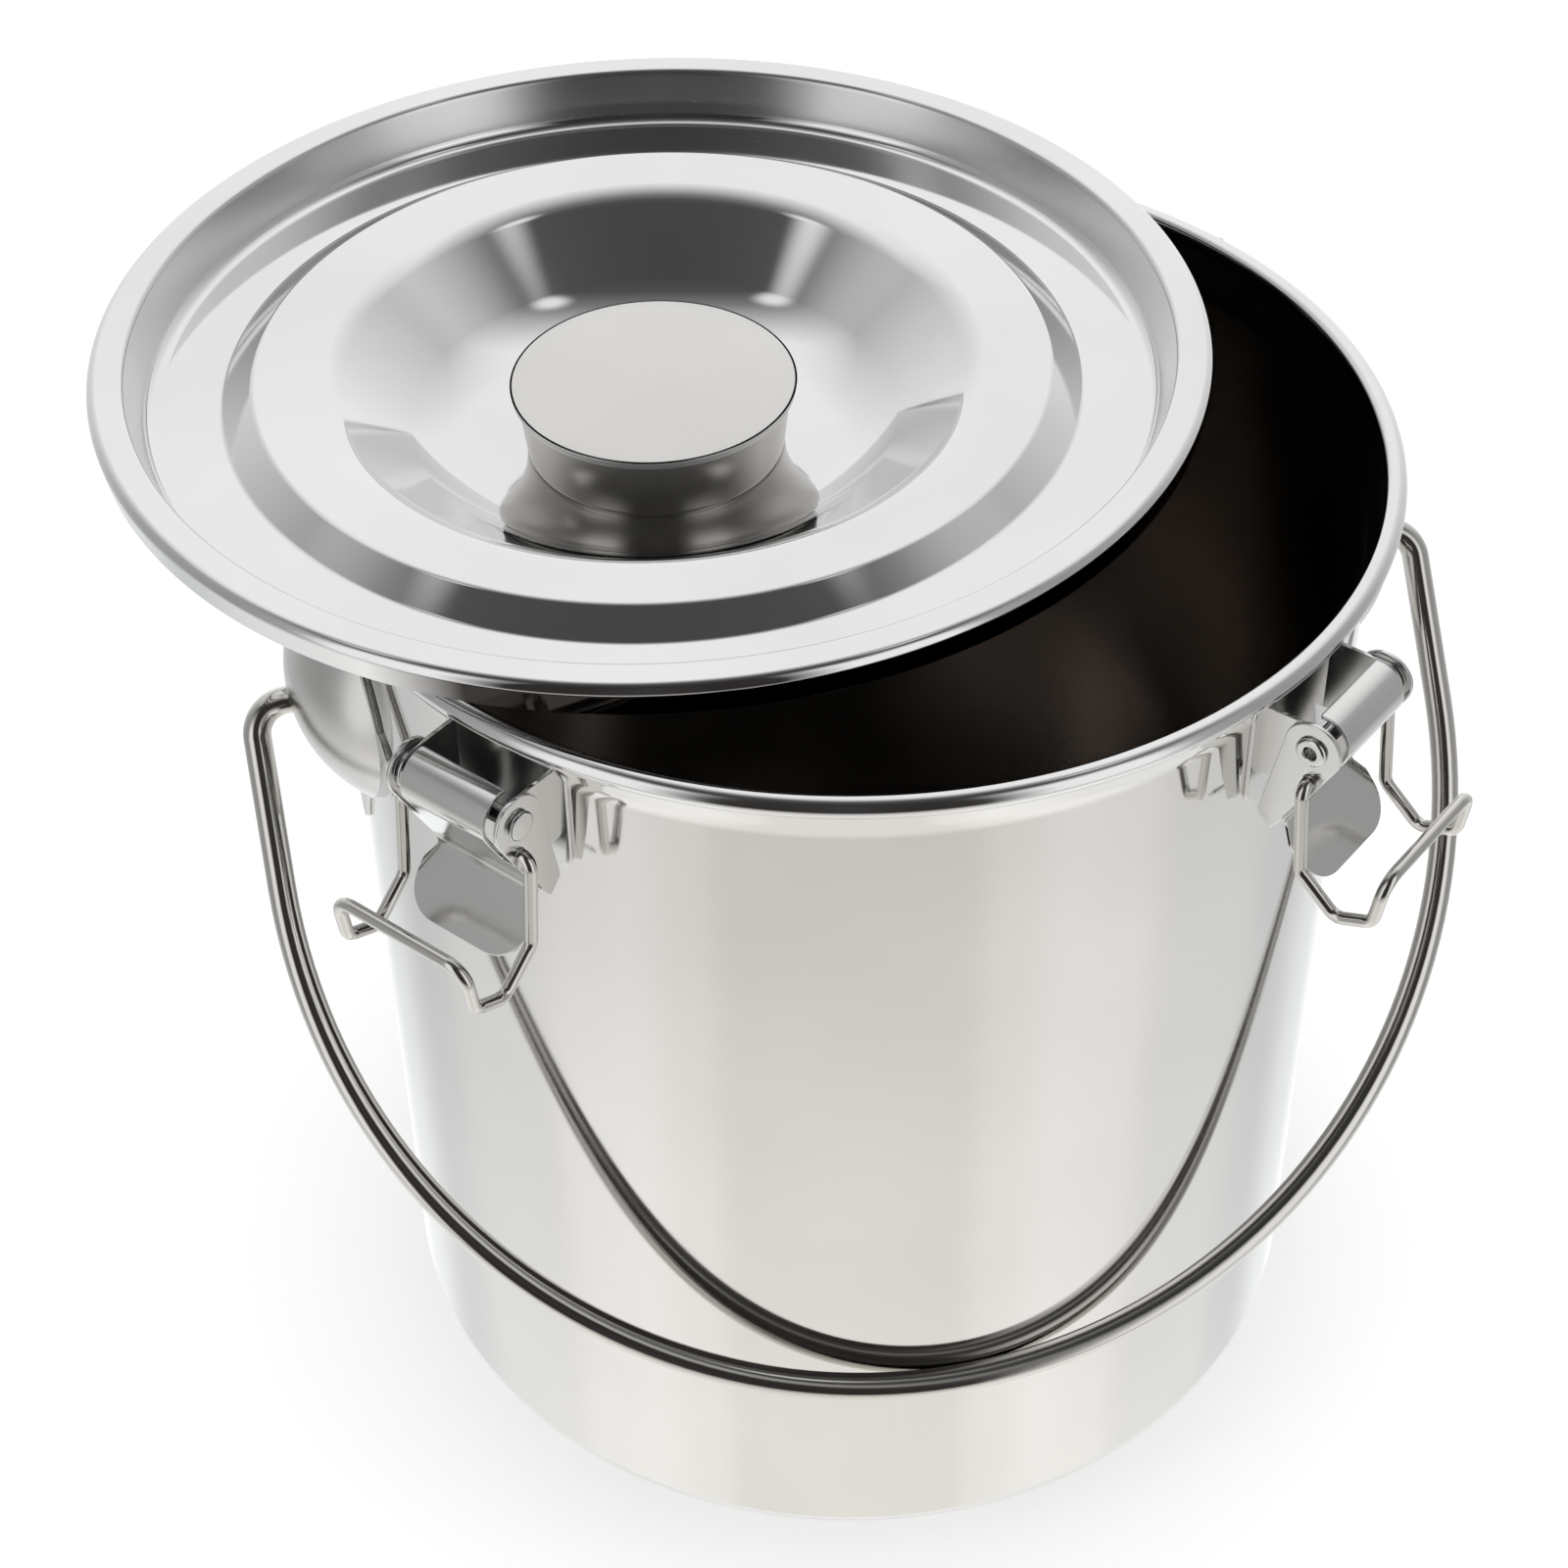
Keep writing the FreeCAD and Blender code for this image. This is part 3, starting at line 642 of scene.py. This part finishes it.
def ear_outline():
    """Spade: a round top, two lobes and a tongue, as plain points from the centre of the dome."""
    r = DOME_R + FLANGE_MARGIN
    top = [(r * math.cos(math.radians(a)), r * math.sin(math.radians(a))) for a in range(12, 169, 6)]
    right = [(29.3, 2.5), (28.2, -9.0), (20.8, -15.0), (10.6, -23.5), (5.8, -33.4)]
    radii = [5.0, 4.5, 1.5, 2.5, 4.0]
    points = right[::-1] + top + [(-u, z) for u, z in right]
    return rounded_loop(points, radii[::-1] + [0.0] * len(top) + radii, 10.0)


def make_ears():
    """Pressed cups over the bail's ends, each on a spade-shaped flange that follows the wall."""
    outline = ear_outline()
    for name, node, turn in (("ear_right", "bail_ear_right", 0), ("ear_left", "bail_ear_left", 180)):
        hole = circle(DOME_R - 1.6, count=64)
        flat = plate(outline, [hole[::-1]], EAR_SHEET, 0.25)

        def on_wall(u, z, t):
            return Vector((math.sqrt((PAIL_R + EAR_SHEET / 2 + t) ** 2 - u * u), u, DOME_Z + z))

        flange = bent_object(name + "_flange", [(flat, [(0, spaced(-30, 30, 2.0))], on_wall)], SATIN)
        dome = make_dome(name + "_dome")
        for obj in (flange, dome):
            obj.matrix_world = Matrix.Rotation(math.radians(turn), 4, "Z")
            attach(obj, "pail")
        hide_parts(node)


def dome_reach(c, s, drop):
    """How far from the hinge axis, in one direction round it, the dome meets the wall."""
    near, far = 0.0, DOME_R + drop + 6
    for _ in range(40):
        mid = (near + far) / 2
        y, z = mid * c, mid * s - drop
        ball = BALL_X + math.sqrt(max(BALL_R ** 2 - y * y - z * z, 0.0))
        wall = math.sqrt((PAIL_R + DOME_SINK) ** 2 - y * y)
        near, far = (mid, far) if ball > wall else (near, mid)
    return near


def make_dome(name):
    """Ball-shaped cup with a hole for the bail; its foot follows the curve of the wall.

    Rows -2 and -1 are the hole's edge, and the rest spread from the hole to the foot.
    """
    turns = 144
    rows = 40
    hole_r = ROD_R + ROD_GAP
    chamfer = 0.25
    drop = DOME_Z - HINGE_Z
    verts, normals = [], []
    for i in range(-2, rows + 1):
        for k in range(turns):
            angle = 2 * math.pi * k / turns
            c, s = math.cos(angle), math.sin(angle)
            rho = hole_r
            if i >= 0:
                rho = hole_r + chamfer + (dome_reach(c, s, drop) - hole_r - chamfer) * (i / rows)
            y, z = rho * c, rho * s - drop
            x = BALL_X + math.sqrt(BALL_R ** 2 - y * y - z * z)
            if i < 0:
                x -= 0.2 if i == -1 else 0.9
                normals.append((0.0, -c, -s))
            else:
                normals.append(((x - BALL_X) / BALL_R, y / BALL_R, z / BALL_R))
            verts.append((x, y, DOME_Z + z))
    faces = []
    for i in range(rows + 2):
        for k in range(turns):
            n = (k + 1) % turns
            faces.append([i * turns + k, i * turns + n, (i + 1) * turns + n, (i + 1) * turns + k])
    return new_object(name, verts, faces, normals, [SATIN])


def make_bail():
    """One rod: ends in through the ears, straight legs and a half circle, hanging on the wall."""
    leg = [(ROD_END_X, 0, 0), (BAIL_HALF_W, 0, 0), (BAIL_HALF_W, 0, -BAIL_STRAIGHT)]
    right = rounded_in_space(leg, [BAIL_BEND_R])
    left = [(Vector((-p.x, p.y, p.z)), Vector((d.x, d.y, -d.z))) for p, d in right[::-1]]
    arc = []
    for k in range(1, 90):
        a = math.pi * k / 90
        point = Vector((BAIL_HALF_W * math.cos(a), 0, -BAIL_STRAIGHT - BAIL_HALF_W * math.sin(a)))
        arc.append((point, Vector((-math.sin(a), 0, -math.cos(a)))))
    bail = sweep("bail_rod", right + arc + left, ROD_R, WIRE, 32)
    depth = BAIL_STRAIGHT + BAIL_HALF_W
    tilt = math.asin((PAIL_R + ROD_R + BAIL_WALL_GAP) / depth)
    bail.matrix_world = Matrix.Translation((0, 0, HINGE_Z * MM)) @ Matrix.Rotation(-tilt, 4, "X")
    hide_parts("bail_handle")
    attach(bail, "bail")


def make_latch_base():
    """Wall plate bent to the pail's curve, with two side plates that hold the rivet."""
    low, high = (PLATE_HALF_U, PLATE_BOTTOM_H), (PLATE_HALF_U, PLATE_TOP_H)
    outline = rounded_loop([(-low[0], low[1]), low, high, (-high[0], high[1])], [3.0] * 4)

    def on_wall(u, h, t):
        return Vector((math.sqrt((PAIL_R + 0.46 + t) ** 2 - u * u) - PIVOT_R, u, h))

    cuts = spaced(-PLATE_HALF_U, PLATE_HALF_U, 2.0)
    parts = [(plate(outline, [], BRACKET_SHEET, 0.22), [(0, cuts)], on_wall)]
    nose = circle(BRACKET_NOSE_R, count=40)
    nose = [p for p in nose if p[0] > 0.3]
    nose.sort(key=lambda p: p[1])
    points = [(-11.6, BRACKET_NOSE_R), (-11.6, -11.5), (-8.6, -11.5)] + nose
    side = rounded_loop(points, [0, 0, 2.0] + [0] * len(nose))
    middle = BRACKET_HALF_U - BRACKET_SHEET / 2
    for s in (-1, 1):
        mesh = plate(side, [circle(RIVET_R)[::-1]], BRACKET_SHEET, 0.2)
        parts.append((mesh, [], lambda w, h, t, s=s: Vector((w, s * middle + t, h))))
    return bent_object("latch_bracket", parts, LATCH)


def lever_strip():
    """(w, h, tw, th, s) down the middle of the lever's sheet, and the length of its barrel.

    s is the length along the sheet.
    """
    barrel_r = CHEEK_NOSE_R - LEVER_SHEET / 2
    low = math.radians(BARREL_END)
    start = (barrel_r * math.cos(low), barrel_r * math.sin(low))
    samples = arc_samples((0, 0), barrel_r, BARREL_START, BARREL_END, 5.0)
    barrel_last = len(samples) - 1
    samples += rounded_path([start, TAB_ROOT, TAB_TIP], [TAB_BEND_R], 6.0)[1:]
    strip, length = [], 0.0
    for i, (a, b, ta, tb) in enumerate(samples):
        if i:
            length += math.hypot(a - samples[i - 1][0], b - samples[i - 1][1])
        strip.append((a, b, ta, tb, length))
    return strip, strip[barrel_last][4]


def place_on_strip(strip, s):
    """Position and direction at a length along the strip."""
    for one, two in zip(strip, strip[1:]):
        if two[4] - one[4] > 1e-6 and (s <= two[4] or two is strip[-1]):
            k = (s - one[4]) / (two[4] - one[4])
            return [one[i] + (two[i] - one[i]) * k for i in range(4)]


def make_latch_lever():
    """Barrel, web and thumb tab as one bent sheet with slots, and two cheeks on the rivet."""
    strip, barrel_end = lever_strip()
    end = strip[-1][4]
    root = strip[-2][4] - 1.9
    slot = barrel_end + 7.0
    waist_u = LEVER_HALF_U - 1.6
    half = [(BARREL_HALF_U, 0), (BARREL_HALF_U, slot), (LEVER_HALF_U, slot + 1.3),
            (LEVER_HALF_U, root - 0.8), (waist_u, root + 1.0), (TAB_HALF_U, root + 4.8), (TAB_HALF_U, end)]
    radii = [0.5, 0.9, 0.6, 0.8, 1.2, 2.0, TAB_CORNER_R]
    points = half + [(-u, s) for u, s in half[::-1]]
    outline = rounded_loop(points, radii + radii[::-1], 10.0)

    def on_strip(u, s, t):
        a, b, ta, tb = place_on_strip(strip, s)
        return Vector((a - t * tb, u, b + t * ta))

    cuts = [p[4] for p in strip[1:-1]] + spaced(slot, root - 3, 4.0)
    parts = [(plate(outline, [], LEVER_SHEET, 0.2), [(1, cuts)], on_strip)]

    nose = [(CHEEK_NOSE_R * math.cos(math.radians(a)), CHEEK_NOSE_R * math.sin(math.radians(a)))
            for a in range(180, -30, -7)]
    points = [(-6.4, -21.8), (-9.4, -18.8)] + nose + [(4.85, -2.75), (-3.3, -17.7)]
    cheek = rounded_loop(points, [0.4, 2.0] + [0] * len(nose) + [0, 0.5], 10.0)[::-1]
    middle = LEVER_HALF_U - LEVER_SHEET / 2
    for s in (-1, 1):
        holes = [circle(RIVET_R + RIVET_GAP), circle(WIRE_R + WIRE_GAP, HOLE)]
        mesh = plate(cheek, holes, LEVER_SHEET, 0.2)
        parts.append((mesh, [], lambda w, h, t, s=s: Vector((w, s * middle + t, h))))
    return bent_object("latch_lever", parts, LATCH)


def make_rivet():
    """Domed head on one side, rolled eyelet with a dark bore on the other; turned about local z."""
    end = LEVER_HALF_U + SIDE_GAP
    rim, bore_floor = -end - RIVET_HEAD_H, -end + 3.0
    points = [(NEAR_AXIS, bore_floor), (EYELET_BORE_R, bore_floor), (EYELET_BORE_R, rim), (EYELET_R, rim),
              (EYELET_R, -end), (RIVET_R, -end), (RIVET_R, end), (RIVET_HEAD_R, end),
              (RIVET_HEAD_R - 0.9, end + RIVET_HEAD_H), (NEAR_AXIS, end + RIVET_HEAD_H + 0.07)]
    radii = [0.0, 0.2, 0.35, 0.7, 0.1, 0.1, 0.1, 0.5, 0.6, 0.0]
    return solid_of_turning("latch_rivet", points, radii, LATCH, 48)


def make_loop_wire():
    """Wire loop with its tips in the cheeks and a hook that reaches out and up."""
    bends = [(0, 0), (1.7, -18.9), (9.8, -25.8), (17.0, -22.8), (18.4, -12.6)]
    w0, h0 = HOLE
    right = [(w0 + w, LOOP_HALF_U, h0 + h) for w, h in bends]
    left = [(w0 + w, -LOOP_HALF_U, h0 + h) for w, h in bends[::-1]]
    points = [(w0, LOOP_TIP_U, h0)] + right + left + [(w0, -LOOP_TIP_U, h0)]
    radii = [2.2, 3.0, 3.0, 3.0, 4.0, 4.0, 3.0, 3.0, 3.0, 2.2]
    return sweep("latch_loop", rounded_in_space(points, radii), WIRE_R, WIRE, 20)


def make_latches():
    """Four latches round the rim, one mesh of each kind used four times."""
    kinds = {
        "latch_base": (make_latch_base(), "pail", "latch_sheet", Matrix.Identity(4)),
        "latch_lever": (make_latch_lever(), "lever", "latch_sheet", Matrix.Identity(4)),
        "latch_rivet": (make_rivet(), "pail", "latch_sheet", Matrix.Rotation(math.radians(-90), 4, "X")),
        "latch_loop": (make_loop_wire(), "loop", "wire", Matrix.Identity(4)),
    }
    to_pivot = Matrix.Translation((PIVOT_R * MM, 0, PIVOT_Z * MM))
    for kind, (first, body, slot, local) in kinds.items():
        for i in range(LATCH_COUNT):
            obj = first if i == 0 else first.copy()
            if i:
                bpy.context.scene.collection.objects.link(obj)
            obj.name = f"{kind}_piece_{i + 1}"
            azimuth = LATCH_FIRST_AZ + 360 / LATCH_COUNT * i
            turn = Matrix.Rotation(math.radians(azimuth), 4, "Z")
            obj.matrix_world = turn @ to_pivot @ local
            obj["latch_number"] = i + 1
        for i in range(LATCH_COUNT):
            obj = bpy.data.objects[f"{kind}_piece_{i + 1}"]
            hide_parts(f"{kind}_{i + 1}")
            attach(obj, body if body == "pail" else f"{body}_{i + 1}")


# ---------------------------------------------------------------- stage

def around_view(t, vector):
    """(x, y, z) of a vector with y turned to point away from the camera."""
    angle = math.radians(VIEW_TURN)
    turned = t.add("ShaderNodeVectorRotate", {"rotation_type": "Z_AXIS"}, Vector=vector, Angle=angle)
    return t.add("ShaderNodeSeparateXYZ", Vector=turned.outputs[0]).outputs


def mirror_colour(t, vector):
    """What polished metal sees along a direction: a bright table, soft boxes and a dark room.

    side is 0 straight towards the camera and 1 straight away from it; over climbs from the far
    horizon (0) past the zenith (0.5) to the horizon behind the camera (1).
    """
    x, y, z = around_view(t, vector)
    wide = t.math("ABSOLUTE", x)
    side = t.math("DIVIDE", t.math("ARCTAN2", wide, t.math("MULTIPLY", y, -1.0)), math.pi)
    over = t.math("DIVIDE", t.math("ARCTAN2", t.math("MAXIMUM", z, 0.0), y), math.pi)
    room = t.ramp(side, [
        (0.0, (0.045, 0.042, 0.042)), (0.07, (0.03, 0.027, 0.025)), (0.14, (0.035, 0.032, 0.03)),
        (0.21, 1.0), (0.32, 1.0), (0.37, 0.42), (0.45, 0.34), (0.61, 0.43), (0.72, 0.68), (0.82, 0.87),
        (0.88, 1.0)])
    ceiling = t.ramp(over, [
        (0.0, 1.0), (0.35, 1.0), (0.42, 0.62), (0.49, 0.22), (0.54, 0.09), (0.61, 0.06), (0.66, 0.035),
        (0.76, (0.03, 0.026, 0.024)), (0.86, (0.075, 0.058, 0.048)), (1.0, 0.03)])
    upper = t.mix(t.range(z, 0.60, 0.86, 0.0, 1.0), room, ceiling)
    beside = t.math("ABSOLUTE", t.math("ADD", x, 0.045))
    along = t.math("DIVIDE", t.math("SUBTRACT", beside, 0.455), 0.12)
    across = t.math("DIVIDE", t.math("ADD", y, 0.02), 0.10)
    away = t.math("ADD", t.math("MULTIPLY", along, along), t.math("MULTIPLY", across, across))
    spot = t.ramp(t.math("SQRT", away), [(0.2, 0.92), (1.0, 0.0)], "EASE")
    spot = t.math("MULTIPLY", spot, t.range(z, 0.3, 0.5, 0.0, 1.0))
    upper = t.mix(spot, upper, (0.95, 0.95, 0.96, 1))
    table = t.ramp(side, [
        (0.0, (0.94, 0.92, 0.88)), (0.14, (0.94, 0.92, 0.88)), (0.21, (1.04, 1.025, 0.99)),
        (0.29, (1.11, 1.10, 1.07)), (0.37, (1.08, 1.07, 1.04)), (0.46, (0.96, 0.96, 0.94)),
        (0.56, (0.94, 0.95, 0.94)), (0.68, (0.83, 0.85, 0.85)), (0.80, (1.05, 1.07, 1.08)),
        (0.92, (1.24, 1.26, 1.28))], "EASE")
    depth = t.math("MULTIPLY", z, -1.0)
    depth = t.ramp(depth, [(0.50, 0.60), (0.60, 0.72), (0.68, 0.80), (0.80, 1.0)])
    multiply = {"data_type": "RGBA", "blend_type": "MULTIPLY"}
    table = t.add("ShaderNodeMix", multiply, i0=1.0, i6=table, i7=depth).outputs[2]
    return t.mix(t.range(z, -0.52, -0.34, 0.0, 1.0), table, upper)


def make_floor():
    """Plain pale floor with a faint contact shade; mirrors see the table of mirror_colour in it."""
    mesh = bpy.data.meshes.new("floor")
    half = 3.0
    corners = [(-half, -half, 0), (half, -half, 0), (half, half, 0), (-half, half, 0)]
    mesh.from_pydata(corners, [], [(0, 1, 2, 3)])
    material = bpy.data.materials.new("floor_pale")
    t = Tree(material)
    geometry = t.add("ShaderNodeNewGeometry").outputs
    base = t.mix(t.noise(geometry["Position"], 3.0), (0.95, 0.95, 0.95, 1), (0.98, 0.98, 0.98, 1))
    pale = t.add("ShaderNodeBsdfDiffuse", Color=base).outputs[0]
    lift = t.add("ShaderNodeEmission", Strength=0.20).outputs[0]
    pale = t.add("ShaderNodeAddShader", i0=pale, i1=lift).outputs[0]
    downward = t.vector("SCALE", i0=geometry["Incoming"], Scale=-1.0).outputs[0]
    glow = t.add("ShaderNodeEmission", Color=mirror_colour(t, downward)).outputs[0]
    mirrored = t.add("ShaderNodeLightPath").outputs["Is Glossy Ray"]
    shader = t.add("ShaderNodeMixShader", i0=mirrored, i1=pale, i2=glow)
    t.add("ShaderNodeOutputMaterial", Surface=shader.outputs[0])
    mesh.materials.append(material)
    floor = bpy.data.objects.new("floor", mesh)
    floor.location.z = -0.0002
    bpy.context.scene.collection.objects.link(floor)


def make_world():
    """White surroundings; mirror rays see mirror_colour instead."""
    world = bpy.data.worlds.new("studio")
    bpy.context.scene.world = world
    t = Tree(world)
    mirror = mirror_colour(t, t.add("ShaderNodeTexCoord").outputs["Generated"])
    glossy = t.add("ShaderNodeLightPath").outputs["Is Glossy Ray"]
    colour = t.mix(glossy, (1.06, 1.06, 1.06, 1), mirror)
    background = t.add("ShaderNodeBackground", Color=colour)
    t.add("ShaderNodeOutputWorld", Surface=background.outputs[0])


def make_camera():
    """Camera on the photograph's line of sight."""
    pitch, yaw, roll = (math.radians(v) for v in (CAMERA_PITCH, CAMERA_YAW, CAMERA_ROLL))
    turn = Matrix.Rotation(math.radians(-VIEW_TURN), 3, "Z")
    ahead = Vector((math.sin(yaw) * math.cos(pitch), math.cos(yaw) * math.cos(pitch), -math.sin(pitch)))
    level = ahead.cross(Vector((0, 0, 1))).normalized()
    down = ahead.cross(level)
    right = level * math.cos(roll) + down * math.sin(roll)
    up = level * math.sin(roll) - down * math.cos(roll)
    axes = [turn @ v for v in (right, up, -ahead)]
    place = turn @ Vector((0, -CAMERA_BACK, CAMERA_UP)) * MM
    camera = bpy.data.objects.new("camera", bpy.data.cameras.new("camera"))
    camera.data.lens = CAMERA_LENS
    camera.data.sensor_width = 36.0
    camera.data.clip_start = 0.01
    bpy.context.scene.collection.objects.link(camera)
    rotation = Matrix(axes).transposed().to_4x4()
    camera.matrix_world = Matrix.Translation(place) @ rotation
    bpy.context.scene.camera = camera


def main():
    make_pail()
    make_lid()
    make_lid_parts()
    make_ears()
    make_bail()
    make_latches()
    make_floor()
    make_world()
    make_camera()
    bpy.context.scene.view_settings.view_transform = "Standard"
    bpy.context.view_layer.update()


main()
